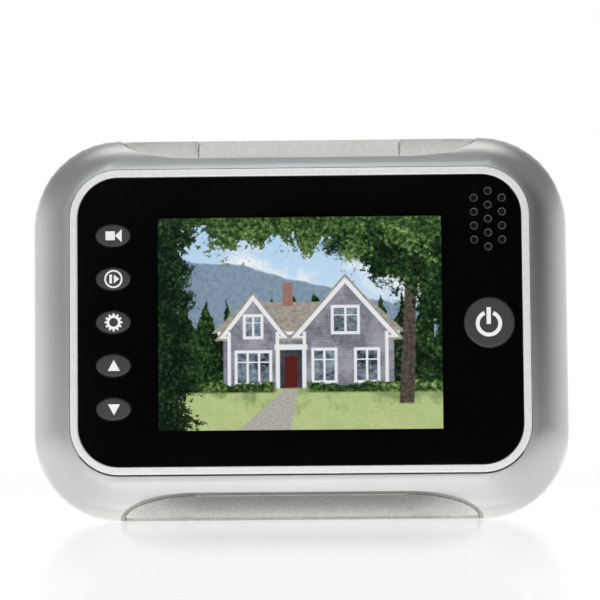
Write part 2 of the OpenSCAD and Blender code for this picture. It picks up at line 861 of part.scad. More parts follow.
module contacts_bottom() {
    color("silver") unit() {
        strip(0, 0, comp_bottom);
        strip(1, 2, comp_bottom);
        strip(3, 3, comp_bottom);
    }
}

module battery_cover() {
    color("lightgray") unit() {
        across(cover_w) polygon(cover_outline(0));
        cover_guides(0, guide_top);
    }
}

// Door bracket: a steel plate with folded sides and hooks, clamped by the sleeve nut

module door_bracket() {
    color("slategray") difference() {
        union() {
            slab(-bracket_t, 0) square([bracket_w, bracket_h], center = true);
            for (sx = [-1, 1]) {
                slab(-web_d, 0)
                    translate([sx * (bracket_w - bracket_t) / 2, 0])
                        square([bracket_t, bracket_h], center = true);
                for (z = [hook_top, hook_top - hook_drop])
                    slab(-web_d, -web_d + hook_t)
                        translate([sx * (bracket_w + hook_w) / 2, z - hook_h / 2])
                            square([hook_w + slice, hook_h], center = true);
            }
        }
        rod(sleeve_d + 2 * run_clear, -bracket_t - cut, cut);
        for (sx = [-1, 1])
            translate([sx * screw_hole_pitch / 2, 0, 0]) rod(screw_hole_d, -bracket_t - cut, cut);
    }
}

// Barrel through the door

slot_w = 2;
slot_depth = 1;
bore_d = stem_d + 2 * run_clear;
y_sleeve = -bracket_t - sleeve_flange_t;

module sleeve_nut() {
    color("darkgoldenrod") difference() {
        union() {
            rod(sleeve_flange_d, y_sleeve, -bracket_t);
            rod(sleeve_d, y_sleeve, sleeve_l);
        }
        rod(bore_d, y_sleeve - cut, sleeve_l + cut);
        slab(y_sleeve - cut, y_sleeve + slot_depth) square([sleeve_flange_d + cut, slot_w], center = true);
    }
}

y_flange = door_t + washer_t;
y_face = y_flange + flange_t;
y_stem_in = door_t - stem_l;
flange_round = 3;
lip_d = 12.6;
lip_l = 1.2;
lens_seat = 3;
lens_collar = 1;
washer_in = 3;
barrel_l = 12;
y_lens = y_face + lip_l - lens_seat;

module camera_housing() {
    color("darkgoldenrod") turned() polygon(concat(
        [[stem_bore / 2, y_stem_in], [stem_d / 2, y_stem_in], [stem_d / 2, y_flange],
         [flange_d / 2, y_flange]],
        [for (a = [0 : 15 : 90])
            [flange_d / 2 - flange_round * (1 - cos(a)), y_face - flange_round + flange_round * sin(a)]],
        [[lip_d / 2, y_face], [lip_d / 2, y_face + lip_l], [stem_bore / 2, y_face + lip_l]]
    ));
}

module sealing_washer() {
    color("black") difference() {
        rod(flange_d - washer_in, door_t, y_flange);
        rod(stem_d + 2 * run_clear, door_t - cut, y_flange + cut);
    }
}

// Front lens: a flat-backed bead whose crown stands in the barrel's mouth
lens_crown = 1.6;

module lens_front() {
    r = (pow(lens_d / 2, 2) + pow(lens_crown, 2)) / (2 * lens_crown);
    color("steelblue") intersection() {
        translate([0, y_lens + lens_seat + lens_crown - r, 0]) sphere(r);
        rod(lens_d, y_lens, y_lens + lens_seat + lens_crown + cut);
    }
}

module lens_ring() {
    color("black") difference() {
        rod(stem_bore, y_lens + lens_collar, y_lens + lens_seat);
        rod(lens_d, y_lens, y_lens + lens_seat + cut);
    }
}

module lens_barrel() {
    color("black") rod(stem_bore, y_lens - barrel_l, y_lens);
}

sensor_t = 1;

module sensor_board() {
    color("darkgreen") rod(stem_bore, y_lens - barrel_l - sensor_t, y_lens - barrel_l);
}

bush_l = 4;
bush_bore = 4;

module cable_bush() {
    color("black") difference() {
        rod(stem_bore, y_stem_in, y_stem_in + bush_l);
        rod(bush_bore, y_stem_in - cut, y_stem_in + bush_l + cut);
    }
}

bezel_frame();
front_housing();
front_panel();
lcd_frame();
lcd_glass();
lcd_pads();
main_board();
processor();
memory_chip();
capacitor(CAPACITOR_X[0]);  // capacitor_1
capacitor(CAPACITOR_X[1]);  // capacitor_2
camera_socket();
switch_body(SWITCH_PLACES[0]);  // switch_record
switch_body(SWITCH_PLACES[1]);  // switch_play
switch_body(SWITCH_PLACES[2]);  // switch_settings
switch_body(SWITCH_PLACES[3]);  // switch_up
switch_body(SWITCH_PLACES[4]);  // switch_down
switch_body(SWITCH_PLACES[5]);  // switch_power
plunger(SWITCH_PLACES[0]);  // plunger_record
plunger(SWITCH_PLACES[1]);  // plunger_play
plunger(SWITCH_PLACES[2]);  // plunger_settings
plunger(SWITCH_PLACES[3]);  // plunger_up
plunger(SWITCH_PLACES[4]);  // plunger_down
plunger(SWITCH_PLACES[5]);  // plunger_power
oval_key(KEY_PLACES[0]);  // key_record
oval_key(KEY_PLACES[1]);  // key_play
oval_key(KEY_PLACES[2]);  // key_settings
oval_key(KEY_PLACES[3]);  // key_up
oval_key(KEY_PLACES[4]);  // key_down
key_power();
speaker_basket();
speaker_cone();
speaker_magnet();
speaker_gasket();
rear_case();
case_screw(0);  // case_screw_1
case_screw(1);  // case_screw_2
case_screw(2);  // case_screw_3
case_screw(3);  // case_screw_4
board_screw(0);  // board_screw_1
board_screw(1);  // board_screw_2
board_screw(2);  // board_screw_3
board_screw(3);  // board_screw_4
cell(0);  // cell_1
cell(1);  // cell_2
cell(2);  // cell_3
cell(3);  // cell_4
contacts_top();
contacts_bottom();
battery_cover();
door_bracket();
sleeve_nut();
camera_housing();
sealing_washer();
lens_front();
lens_ring();
lens_barrel();
sensor_board();
cable_bush();
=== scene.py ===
import math

import bpy
from mathutils import Matrix, Vector


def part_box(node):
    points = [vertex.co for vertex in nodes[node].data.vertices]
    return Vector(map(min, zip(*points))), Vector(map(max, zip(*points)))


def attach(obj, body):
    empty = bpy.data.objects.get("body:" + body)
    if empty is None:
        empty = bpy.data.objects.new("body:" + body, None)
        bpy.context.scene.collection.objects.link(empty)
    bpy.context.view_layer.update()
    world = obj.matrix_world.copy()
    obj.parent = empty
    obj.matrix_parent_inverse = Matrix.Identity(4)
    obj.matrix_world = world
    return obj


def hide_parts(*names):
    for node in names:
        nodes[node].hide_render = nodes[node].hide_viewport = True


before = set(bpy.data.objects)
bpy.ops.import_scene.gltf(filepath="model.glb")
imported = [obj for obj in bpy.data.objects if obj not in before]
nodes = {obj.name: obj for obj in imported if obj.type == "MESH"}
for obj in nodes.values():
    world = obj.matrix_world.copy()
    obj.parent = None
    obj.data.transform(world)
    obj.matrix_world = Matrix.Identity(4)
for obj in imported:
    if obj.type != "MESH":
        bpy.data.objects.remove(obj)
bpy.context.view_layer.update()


# Door bracket: 1.2 mm sheet steel, cut, folded at both sides and bent out into four hooks.
# It is zinc plated, and the sleeve nut clamps its plate to the door's inside face.

MM = 0.001


def alone(piece):
    """Leaves this piece as the only one selected, so that an operator acts on it alone."""
    bpy.ops.object.select_all(action="DESELECT")
    piece.select_set(True)
    bpy.context.view_layer.objects.active = piece


def from_solid(node, name, merge=0.4):
    """A new piece with a CAD solid's shape, its loose triangles merged into plain faces."""
    piece = bpy.data.objects.new(name, nodes[node].data.copy())
    piece.data.name = name
    piece.data.materials.clear()
    bpy.context.scene.collection.objects.link(piece)
    alone(piece)
    bpy.ops.object.mode_set(mode="EDIT")
    bpy.ops.mesh.select_all(action="SELECT")
    bpy.ops.mesh.customdata_custom_splitnormals_clear()
    bpy.ops.mesh.remove_doubles(threshold=0.002 * MM)
    bpy.ops.mesh.dissolve_limited(angle_limit=math.radians(merge))
    bpy.ops.object.mode_set(mode="OBJECT")
    return piece


def round_edges(piece, width, segments=2, angle=35):
    """Rounds every edge sharper than an angle, as a mould or a tumbling drum leaves it."""
    alone(piece)
    rounding = piece.modifiers.new("rounding", "BEVEL")
    rounding.width, rounding.segments = width, segments
    rounding.limit_method, rounding.angle_limit = "ANGLE", math.radians(angle)
    bpy.ops.object.modifier_apply(modifier=rounding.name)
    smooth(piece, angle)


def smooth(piece, angle=35):
    """Smooth shading that leaves broad faces flat."""
    alone(piece)
    bpy.ops.object.shade_smooth_by_angle(angle=math.radians(angle))
    flatness = piece.modifiers.new("flatness", "WEIGHTED_NORMAL")
    flatness.keep_sharp = True
    bpy.ops.object.modifier_apply(modifier=flatness.name)


def settle(piece, material, slot, body, *solids):
    """Gives a finished piece its material and the body it rides on, and hides the CAD solids it stands
    for. The slot it is given is not used.
    """
    piece.data.materials.append(material)
    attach(piece, body)
    if solids:
        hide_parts(*solids)


class Tone:
    """A socket of a material. Sums and products of tones add Math nodes to its tree."""

    def __init__(self, tree, socket):
        self.tree, self.socket = tree, socket

    def node(self, kind, settings, sockets, out=0):
        """Adds any other node: its settings come first, then its sockets are set or linked."""
        made = self.tree.nodes.new("ShaderNode" + kind)
        for field, value in settings.items():
            if field == "stops":
                ramp = made.color_ramp.elements
                for at, _ in value[1:-1]:
                    ramp.new(at)
                for stop, (at, colour) in zip(ramp, value):
                    stop.position, stop.color = at, (*colour, 1)
            else:
                setattr(made, field, value)
        for key, value in sockets.items():
            if isinstance(value, Tone):
                self.tree.links.new(value.socket, made.inputs[key])
            else:
                made.inputs[key].default_value = value
        return Tone(self.tree, made.outputs[out])

    def math(self, operation, first, second, clamp=False):
        return self.node("Math", {"operation": operation, "use_clamp": clamp}, {0: first, 1: second})

    def __add__(self, other):
        return self.math("ADD", self, other)

    def __radd__(self, other):
        return self.math("ADD", other, self)

    def __sub__(self, other):
        return self.math("SUBTRACT", self, other)

    def __rsub__(self, other):
        return self.math("SUBTRACT", other, self)

    def __mul__(self, other):
        return self.math("MULTIPLY", self, other)

    def __rmul__(self, other):
        return self.math("MULTIPLY", other, self)

    def __truediv__(self, other):
        return self.math("DIVIDE", self, other)

    def __abs__(self):
        return self.math("ABSOLUTE", self, 0)

    def above(self, edge, soft):
        """0 where the tone is below an edge and 1 where it is above, over a soft step."""
        return self.math("ADD", (self - edge) / soft, 0.5, clamp=True)

    def between(self, low, high, soft):
        return self.above(low, soft) * (1 - self.above(high, soft))

    def mix(self, first, second):
        """The first colour where the tone is 0 and the second where it is 1."""
        ends = [c if isinstance(c, Tone) else (*c, 1) for c in (first, second)]
        return self.node("Mix", {"data_type": "RGBA"}, {0: self, 6: ends[0], 7: ends[1]}, 2)

    def axes(self):
        split = self.node("SeparateXYZ", {}, {0: self})
        return [Tone(self.tree, out) for out in split.socket.node.outputs]

    def noise(self, scale, detail=3.0, roughness=0.5):
        sockets = {"Vector": self, "Scale": scale, "Detail": detail, "Roughness": roughness}
        return self.node("TexNoise", {}, sockets)

    def grains(self, scale):
        """A random shade for each of many small cells."""
        return self.node("TexVoronoi", {}, {"Vector": self, "Scale": scale}, "Color")

    def into(self, socket):
        self.tree.links.new(self.socket, self.tree.nodes["Principled BSDF"].inputs[socket])

    def bump(self, strength, depth):
        sockets = {"Strength": strength, "Distance": depth, "Height": self}
        self.node("Bump", {}, sockets).into("Normal")


def finish(name, fixed):
    """A new material with fixed values on its surface, and the place on the piece to vary it by."""
    material = bpy.data.materials.new(name)
    material.use_nodes = True
    surface = material.node_tree.nodes["Principled BSDF"]
    for socket, value in fixed.items():
        surface.inputs[socket].default_value = value
    coordinates = material.node_tree.nodes.new("ShaderNodeTexCoord")
    return material, Tone(material.node_tree, coordinates.outputs["Object"])


zinc, place = finish("zinc_plate", {"Metallic": 1.0})
spangle = place.grains(700)
(spangle * 0.6 + place.noise(160) * 0.4).mix((0.30, 0.31, 0.33), (0.46, 0.47, 0.49)).into("Base Color")
(0.32 + 0.16 * spangle).into("Roughness")

bracket = from_solid("door_bracket", "bracket_plate")
round_edges(bracket, 0.3 * MM, 3)
settle(bracket, zinc, "bracket_steel", "door_mount", "door_bracket")


# Sleeve nut: turned from brass bar, with a coin slot across its flange and a thread in its tube.
# It goes through the bracket and the door, and draws the camera in from outside.

def turned_metal(name, dark, light):
    """Metal off a lathe: fine rings round the barrel's axis, duller where it has been handled."""
    material, place = finish(name, {"Metallic": 1.0})
    x, y, z = place.axes()
    radius = place.node("VectorMath", {"operation": "LENGTH"},
                        {0: place.node("CombineXYZ", {}, {0: x, 2: z})}, "Value")
    along = place.node("CombineXYZ", {}, {0: radius, 1: y})
    marks = along.noise(2600, 2.0)
    wear = place.noise(90, 4.0)
    (marks * 0.5 + wear * 0.5).mix(dark, light).into("Base Color")
    (0.2 + 0.14 * marks + 0.12 * wear).into("Roughness")
    marks.bump(0.25, 0.01 * MM)
    return material


brass = turned_metal("turned_brass", (0.40, 0.29, 0.13), (0.66, 0.52, 0.29))
sleeve = from_solid("sleeve_nut", "sleeve")
round_edges(sleeve, 0.25 * MM, 3)
settle(sleeve, brass, "brass", "sleeve", "sleeve_nut")


# Camera housing: turned brass, with a domed flange outside the door and a threaded stem inside it.
# The right-hand thread of 1 mm pitch runs along the stem, into the sleeve nut.

PITCH = 1 * MM
STEM_RADIUS = 6 * MM
ROOT = 5.45 * MM
CREST = 5.98 * MM
ROOT_SUNK = 0.4
THREAD_STEPS = 32


def picked(piece, kind, test):
    """Selects the vertices, edges or faces of a piece in edit mode that pass a test of their middle."""
    bpy.ops.object.mode_set(mode="OBJECT")
    mesh = piece.data
    for group in (mesh.vertices, mesh.edges, mesh.polygons):
        group.foreach_set("select", [False] * len(group))
    for part in {"VERT": mesh.vertices, "EDGE": mesh.edges, "FACE": mesh.polygons}[kind]:
        if kind == "VERT":
            middle = part.co
        elif kind == "EDGE":
            middle = (mesh.vertices[part.vertices[0]].co + mesh.vertices[part.vertices[1]].co) / 2
        else:
            middle = part.center
        part.select = test(part, middle)
    bpy.ops.object.mode_set(mode="EDIT")
    bpy.ops.mesh.select_mode(type=kind)


housing = from_solid("camera_housing", "camera_barrel")
stem_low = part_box("camera_housing")[0].y
stem_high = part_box("sealing_washer")[1].y


def on_stem(vertex, at):
    on_wall = abs(math.hypot(at.x, at.z) - STEM_RADIUS) < 0.1 * MM
    return on_wall and at.y < stem_high - 0.5 * MM


picked(housing, "VERT", on_stem)
bpy.ops.transform.resize(value=(ROOT / STEM_RADIUS, 1, ROOT / STEM_RADIUS), center_override=(0, 0, 0))
bpy.ops.object.mode_set(mode="OBJECT")
round_edges(housing, 0.15 * MM)

turns = int((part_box("sealing_washer")[0].y - stem_low) / PITCH) - 2
bpy.ops.object.select_all(action="DESELECT")
bpy.ops.mesh.primitive_circle_add(vertices=4, radius=0.5 * PITCH, fill_type="NOTHING",
                                  location=(ROOT, stem_low + PITCH, 0))
thread = bpy.context.object
thread.name = "stem_thread"
bpy.ops.object.transform_apply()
for vertex in thread.data.vertices:
    out = vertex.co.x - ROOT
    vertex.co.x = ROOT + (out * (CREST - ROOT) / (0.5 * PITCH) if out > 0 else out * ROOT_SUNK)
helix = thread.modifiers.new("helix", "SCREW")
helix.axis, helix.screw_offset, helix.iterations = "Y", PITCH, turns
helix.steps = helix.render_steps = THREAD_STEPS
helix.use_merge_vertices = False
bpy.ops.object.modifier_apply(modifier=helix.name)
bpy.ops.object.mode_set(mode="EDIT")
bpy.ops.mesh.select_all(action="SELECT")
bpy.ops.mesh.fill_holes(sides=4)
bpy.ops.mesh.select_all(action="SELECT")
bpy.ops.mesh.normals_make_consistent(inside=False)
bpy.ops.object.mode_set(mode="OBJECT")
bpy.ops.object.shade_smooth_by_angle(angle=math.radians(35))
alone(housing)
thread.select_set(True)
bpy.ops.object.join()
settle(housing, brass, "brass", "camera", "camera_housing")


# Sealing washer and cable bush: black rubber, pressed flat by the flange and pushed into the stem.
# The camera's cable runs through the bush to the socket on the board.

rubber, place = finish("black_rubber", {"IOR": 1.45})
bloom = place.noise(220, 5.0, 0.6)
bloom.mix((0.012, 0.012, 0.012), (0.035, 0.035, 0.036)).into("Base Color")
(0.55 + 0.3 * bloom).into("Roughness")
place.noise(2500, 2.0).bump(0.3, 0.02 * MM)
for node, name in (("sealing_washer", "washer"), ("cable_bush", "bush")):
    piece = from_solid(node, name)
    round_edges(piece, 0.2 * MM)
    settle(piece, rubber, "seal", "camera", node)


# Lens: a coated glass bead in a black collar, in front of the sealed lens barrel.
# The sensor board closes the barrel's inner end.

coated, place = finish("coated_glass", {"IOR": 1.6, "Coat Weight": 1.0, "Coat Roughness": 0.02})
LENS_RADIUS = 4.5 * MM
x, _, z = place.axes()
offset = place.node("VectorMath", {"operation": "LENGTH"},
                    {0: place.node("CombineXYZ", {}, {0: x, 2: z})}, "Value") / LENS_RADIUS
offset.above(0.55, 0.5).mix((0.004, 0.004, 0.012), (0.05, 0.03, 0.12)).into("Base Color")
(0.03 + 0.03 * place.noise(300)).into("Roughness")

moulded_black, place = finish("moulded_black", {})
grain = place.noise(1800, 2.0)
grain.mix((0.012, 0.012, 0.013), (0.028, 0.028, 0.029)).into("Base Color")
(0.42 + 0.2 * grain).into("Roughness")

lens = from_solid("lens_front", "lens")
round_edges(lens, 0.05 * MM)
settle(lens, coated, "lens", "camera", "lens_front")


def paint_solids(material, *names):
    """A new finish on CAD solids that keep their own shape."""
    for name in names:
        for slot in nodes[name].material_slots:
            slot.material = material


paint_solids(moulded_black, "lens_ring", "lens_barrel")


# Rear case: an ABS tub with the finger scoops, the battery tray and the pocket for the bracket.
# It is moulded, sprayed in a warm silver with a fine speckle, and screwed to the front from behind.

def speckled_silver(name, metallic, dark, light, rough, sparkle):
    """Silver paint with flakes that show as a fine speckle."""
    material, place = finish(name, {"Metallic": metallic, "IOR": 1.5})
    flake = place.grains(3300)
    cloud = place.noise(120, 4.0)
    (flake * 0.75 + cloud * 0.25).mix(dark, light).into("Base Color")
    (rough + 1.3 * sparkle * flake).into("Roughness")
    flake.bump(sparkle, 0.01 * MM)
    return material


def pale_seam(piece, half):
    """Gives the side walls of a seam, within half a width, a near-white material that shows as a pale
    line.
    """
    piece.data.materials.append(bare)
    for face in piece.data.polygons:
        if abs(face.normal.x) > 0.6 and abs(face.center.x) < half:
            face.material_index = 1


pearl = speckled_silver("pearl_silver", 0.55, (0.46, 0.46, 0.43), (0.76, 0.76, 0.71), 0.34, 0.12)
# A near-white material for the side walls of the battery cover's seam.
bare, place = finish("pale_seam_plastic", {"IOR": 1.53})
mottle = place.noise(700, 3.0)
mottle.mix((0.84, 0.84, 0.81), (0.94, 0.94, 0.91)).into("Base Color")
(0.4 + 0.2 * mottle).into("Roughness")
seam_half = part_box("battery_cover")[1].x + 1 * MM
case = from_solid("rear_case", "back_shell")
round_edges(case, 0.2 * MM)
settle(case, pearl, "pearl_silver", "unit", "rear_case")
pale_seam(case, seam_half)


# Battery cover: moulded with the case and sprayed with it. It slides up out of two grooves,
# pushed by the thumb on the ribs of its back.

cover = from_solid("battery_cover", "cover_shell")
round_edges(cover, 0.3 * MM, 3)
settle(cover, pearl, "pearl_silver", "cover", "battery_cover")
pale_seam(cover, seam_half)

RIB_LENGTH = 18 * MM
RIB_WIDTH = 1.2 * MM
RIB_PROUD = 0.3 * MM
RIB_STEP = 2.6 * MM
RIB_ROUND = 0.28 * MM
RIB_FOOT = 9 * MM
RIBS = 5
cover_low, cover_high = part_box("battery_cover")
rib_foot = cover_low.z + RIB_FOOT
grip = None
for i in range(RIBS):
    bpy.ops.object.select_all(action="DESELECT")
    bpy.ops.mesh.primitive_cube_add(size=1, location=(0, cover_high.y, rib_foot + i * RIB_STEP),
                                    scale=(RIB_LENGTH, 2 * RIB_PROUD, RIB_WIDTH))
    rib = bpy.context.object
    bpy.ops.object.transform_apply()
    bpy.ops.object.mode_set(mode="EDIT")
    bpy.ops.mesh.select_all(action="SELECT")
    bpy.ops.mesh.bevel(offset=RIB_ROUND, segments=4, affect="EDGES")
    bpy.ops.object.mode_set(mode="OBJECT")
    if grip:
        grip.select_set(True)
        bpy.context.view_layer.objects.active = grip
        bpy.ops.object.join()
    else:
        grip = rib
grip.name = "cover_grip"
alone(grip)
bpy.ops.object.shade_smooth_by_angle(angle=math.radians(40))
settle(grip, pearl, "pearl_silver", "cover")


# Case screws: blackened steel with a cross recess, sunk in the four corners of the rear case.
# They pull the rear case onto the bosses of the front housing.

steel, place = finish("blackened_steel", {"Metallic": 1.0})
scuff = place.noise(900, 4.0)
scuff.mix((0.06, 0.06, 0.065), (0.2, 0.2, 0.21)).into("Base Color")
(0.3 + 0.25 * scuff).into("Roughness")
CROSS = 2.6 * MM
CROSS_WIDTH = 0.6 * MM
PUNCH_DEPTH = 2 * MM
for i in range(1, 5):
    node = f"case_screw_{i}"
    screw = from_solid(node, f"rear_screw_{i}")
    low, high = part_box(node)
    middle = (low + high) / 2
    round_edges(screw, 0.3 * MM, 3)
    for size in ((CROSS, PUNCH_DEPTH, CROSS_WIDTH), (CROSS_WIDTH, PUNCH_DEPTH, CROSS)):
        bpy.ops.object.select_all(action="DESELECT")
        bpy.ops.mesh.primitive_cube_add(size=1, location=(middle.x, high.y, middle.z), scale=size)
        punch = bpy.context.object
        bpy.ops.object.transform_apply()
        recess = screw.modifiers.new("recess", "BOOLEAN")
        recess.operation, recess.object, recess.solver = "DIFFERENCE", punch, "EXACT"
        alone(screw)
        bpy.ops.object.modifier_apply(modifier=recess.name)
        bpy.data.objects.remove(punch)
    bpy.ops.object.shade_smooth_by_angle(angle=math.radians(35))
    settle(screw, steel, "screw_steel", "unit", node)
paint_solids(steel, *[f"board_screw_{i}" for i in range(1, 5)])


# Cells: four AAA size cells in printed shrink sleeves, every other one upside down.
# Strips of plated spring steel join them in a row, and the cans and the display's frame are plated too.

def cell_sleeve(name, plus_up, low, high):
    """A plain two-band sleeve with bare steel at both ends."""
    material, place = finish(name, {"Coat Weight": 0.4})
    height = (place.axes()[2] - low) / (high - low)
    if not plus_up:
        height = 1 - height
    shade = place.noise(140, 3.0)
    body = shade.mix((0.03, 0.20, 0.09), (0.05, 0.30, 0.14))
    band = height.between(0.70, 0.96, 0.006).mix(body, (0.72, 0.73, 0.72))
    bare_end = 1 - height.between(0.012, 0.965, 0.004)
    bare_end.mix(band, (0.66, 0.66, 0.68)).into("Base Color")
    bare_end.into("Metallic")
    (0.22 + 0.12 * shade).into("Roughness")
    return material


for i in range(1, 5):
    low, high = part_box(f"cell_{i}")
    paint_solids(cell_sleeve(f"cell_sleeve_{i}", i % 2 == 1, low.z, high.z), f"cell_{i}")

plated, place = finish("plated_steel", {"Metallic": 1.0})
smear = place.noise(400, 4.0)
smear.mix((0.52, 0.52, 0.54), (0.78, 0.78, 0.79)).into("Base Color")
(0.16 + 0.22 * smear).into("Roughness")
KEYS = ("record", "play", "settings", "up", "down", "power")
paint_solids(plated, "contacts_top", "contacts_bottom", "capacitor_1", "capacitor_2", "lcd_frame",
             "speaker_magnet", *[f"switch_{key}" for key in KEYS])


# Circuit board: green glass-fibre board with its chips, cans, switches and the camera's socket.
# Four screws hold it to the posts of the front housing.

board, place = finish("solder_mask", {"Coat Weight": 0.3})
x, _, z = place.axes()
tracks = place.node("TexBrick", {"offset": 0.5}, {
    "Vector": place.node("CombineXYZ", {}, {0: x, 1: z}), "Scale": 260.0,
    "Mortar Size": 0.05, "Color1": (0, 0, 0, 1), "Color2": (0, 0, 0, 1), "Mortar": (1, 1, 1, 1)})
tracks.mix((0.008, 0.09, 0.03), (0.03, 0.2, 0.07)).into("Base Color")
(0.3 + 0.1 * place.noise(500)).into("Roughness")
paint_solids(board, "main_board", "sensor_board")
paint_solids(moulded_black, "processor", "memory_chip", "speaker_cone", "speaker_basket",
             *[f"plunger_{key}" for key in KEYS])

nylon, place = finish("ivory_nylon", {"IOR": 1.53})
tint = place.noise(300)
tint.mix((0.66, 0.6, 0.46), (0.78, 0.73, 0.6)).into("Base Color")
(0.4 + 0.15 * tint).into("Roughness")
paint_solids(nylon, "camera_socket")

foam, place = finish("foam_tape", {})
pores = place.grains(2600)
pores.mix((0.01, 0.01, 0.01), (0.045, 0.045, 0.045)).into("Base Color")
(0.8 + 0.15 * pores).into("Roughness")
paint_solids(foam, "lcd_pads", "speaker_gasket")


# Display: a 3.5 inch panel whose glass shows the view outside the door, here a house in a garden.
# It is held in a pressed steel frame behind the window of the front panel.
# Places in the picture are shares of its width, u, and of its height, v.

PICTURE_W = 70.08 * MM
PICTURE_H = 52.56 * MM
PICTURE_LIFT = 2.25 * MM
glass_low, glass_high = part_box("lcd_glass")
picture_z = (glass_low.z + glass_high.z) / 2 + PICTURE_LIFT
view, place = finish("garden_view", {"Base Color": (0.004, 0.004, 0.005, 1), "Roughness": 0.12,
                                     "Emission Strength": 1.0})
x, _, z = place.axes()
u = x / PICTURE_W + 0.5
v = (z - picture_z) / PICTURE_H + 0.5
flat = place.node("CombineXYZ", {}, {0: u * (PICTURE_W / PICTURE_H), 1: v})
leaf = flat.noise(46, 6.0, 0.75)
clump = flat.noise(8, 4.0, 0.6)
broad = flat.noise(3, 2.0)
dapple = flat.node("TexVoronoi", {}, {"Vector": flat, "Scale": 58.0}, "Distance")
sky = v.mix((0.80, 0.88, 0.94), (0.46, 0.68, 0.92))
sky = (clump + broad).above(1.06, 0.22).mix(sky, (0.93, 0.96, 0.98))
hill = (0.66 + 0.14 * broad + 0.05 * clump - 0.30 * (u - 0.3)).above(v, 0.01)
scene = hill.mix(sky, leaf.above(0.5, 0.6).mix((0.12, 0.19, 0.28), (0.34, 0.44, 0.54)))


def foliage(sun):
    """Leaves in clumps, dark inside and lit on top by a share of the sun."""
    light = leaf * 0.95 + clump * 0.45 - dapple * 0.22 + (sun - 0.14)
    return light.node("ValToRGB", {"stops": [
        (0.30, (0.003, 0.009, 0.004)), (0.44, (0.02, 0.05, 0.014)), (0.54, (0.075, 0.14, 0.035)),
        (0.64, (0.22, 0.32, 0.10)), (0.76, (0.52, 0.62, 0.30))]}, {0: light})


CRISP = 0.004


def inside(left, right, low, high, soft=CRISP):
    """1 inside an upright rectangle of the picture."""
    return u.between(left, right, soft) * v.between(low, high, soft)


def peak(middle, top, steep, low):
    """1 inside a gable with its point at the top."""
    return (top - abs(u - middle) * steep).above(v, CRISP) * v.above(low, CRISP)


step = u * 13.0 + clump * 0.6
spire = step.math("PINGPONG", step, 0.5) * 0.34
trees = (0.46 + spire + 0.22 * (broad - 0.5) + 0.14 * (leaf - 0.5)).above(v, 0.01)
scene = trees.mix(scene, foliage(-0.06))
boards = v * 78.0
courses = boards.math("FRACT", boards, 0).above(0.8, 0.2)
sunlit = (clump * 0.6 + leaf * 0.4).above(0.47, 0.22)
siding = sunlit.mix((0.11, 0.115, 0.145), (0.37, 0.375, 0.42))
siding = (courses * 0.35).mix(siding, (0.10, 0.10, 0.13))
shingle = leaf.above(0.5, 0.5).mix((0.16, 0.145, 0.125), (0.56, 0.52, 0.45))
WHITE = (0.86, 0.87, 0.88)
TRIM = 0.006
WALL_FOOT = 0.17
LAWN_TOP = 0.19
PORCH_LEFT = 0.41
PORCH_RIGHT = 0.525
slope = (v - 0.47) * 0.8
roof = u.above(0.20 + slope, CRISP) * (1 - u.above(0.86 - slope, CRISP)) * v.between(0.455, 0.60, CRISP)
scene = inside(0.23, 0.83, WALL_FOOT, 0.47).mix(scene, siding)
scene = roof.mix(scene, shingle)
scene = inside(0.21, 0.85, 0.445, 0.462).mix(scene, WHITE)
brick = (leaf * 0.8).mix((0.24, 0.11, 0.08), (0.48, 0.28, 0.22))
scene = inside(0.44, 0.475, 0.58, 0.69).mix(scene, brick)
for middle, top, steep, low, half in ((0.66, 0.72, 1.5, 0.44, 0.145), (0.335, 0.64, 1.7, 0.44, 0.085)):
    scene = peak(middle, top + 0.012, steep, low - 0.02).mix(scene, shingle)
    scene = peak(middle, top - 0.004, steep, low - 0.01).mix(scene, WHITE)
    scene = peak(middle, top - 0.034, steep, low).mix(scene, siding)
    scene = inside(middle - half, middle + half, WALL_FOOT, low + 0.03).mix(scene, siding)
    for edge in (middle - half, middle + half):
        scene = inside(edge - TRIM, edge + TRIM, WALL_FOOT, low + 0.02).mix(scene, WHITE)
glass = (leaf * 0.5 + clump * 0.5).above(0.52, 0.2).mix((0.012, 0.02, 0.03), (0.36, 0.44, 0.52))
for left, right, low, high in ((0.275, 0.395, 0.22, 0.36), (0.305, 0.365, 0.44, 0.53),
                               (0.545, 0.625, 0.23, 0.37), (0.695, 0.775, 0.23, 0.37),
                               (0.615, 0.705, 0.46, 0.57)):
    scene = inside(left - TRIM, right + TRIM, low - 0.014, high + 0.014).mix(scene, WHITE)
    parts = 3 if right - left > 0.1 else 2
    for i in range(parts):
        near, far = left + (right - left) * i / parts, left + (right - left) * (i + 1) / parts
        for foot, head in ((low, low + (high - low) * 0.68), (low + (high - low) * 0.72, high)):
            scene = inside(near + 0.004, far - 0.004, foot, head, 0.003).mix(scene, glass)
shadow = (sunlit * 0.6).mix((0.02, 0.02, 0.025), (0.10, 0.10, 0.12))
scene = inside(0.42, 0.515, WALL_FOOT, 0.385).mix(scene, shadow)
scene = inside(0.445, 0.49, WALL_FOOT, 0.345).mix(scene, (0.10, 0.016, 0.012))
scene = inside(PORCH_LEFT, PORCH_RIGHT, 0.375, 0.40).mix(scene, WHITE)
for post in (0.422, 0.513):
    scene = inside(post - TRIM, post + TRIM, WALL_FOOT, 0.38).mix(scene, WHITE)
grass = flat.noise(90, 4.0, 0.7)
turf = (grass * 0.6 + clump * 0.4).above(0.5, 0.5).mix((0.34, 0.44, 0.15), (0.62, 0.72, 0.36))
shade = (clump + broad * 0.5 + v * 1.5 + 0.1 * leaf).above(1.06, 0.16)
turf = (shade * 0.6).mix(turf, (0.08, 0.15, 0.03))
scene = (LAWN_TOP + 0.01 * clump).above(v, 0.008).mix(scene, turf)
nearer = LAWN_TOP - v
way = 0.468 - nearer * 0.5
path = (0.024 + nearer * 0.36 - abs(u - way)).above(0, 0.008) * (1 - v.above(LAWN_TOP, CRISP))
scene = path.mix(scene, grass.above(0.5, 0.6).mix((0.26, 0.24, 0.21), (0.64, 0.61, 0.56)))
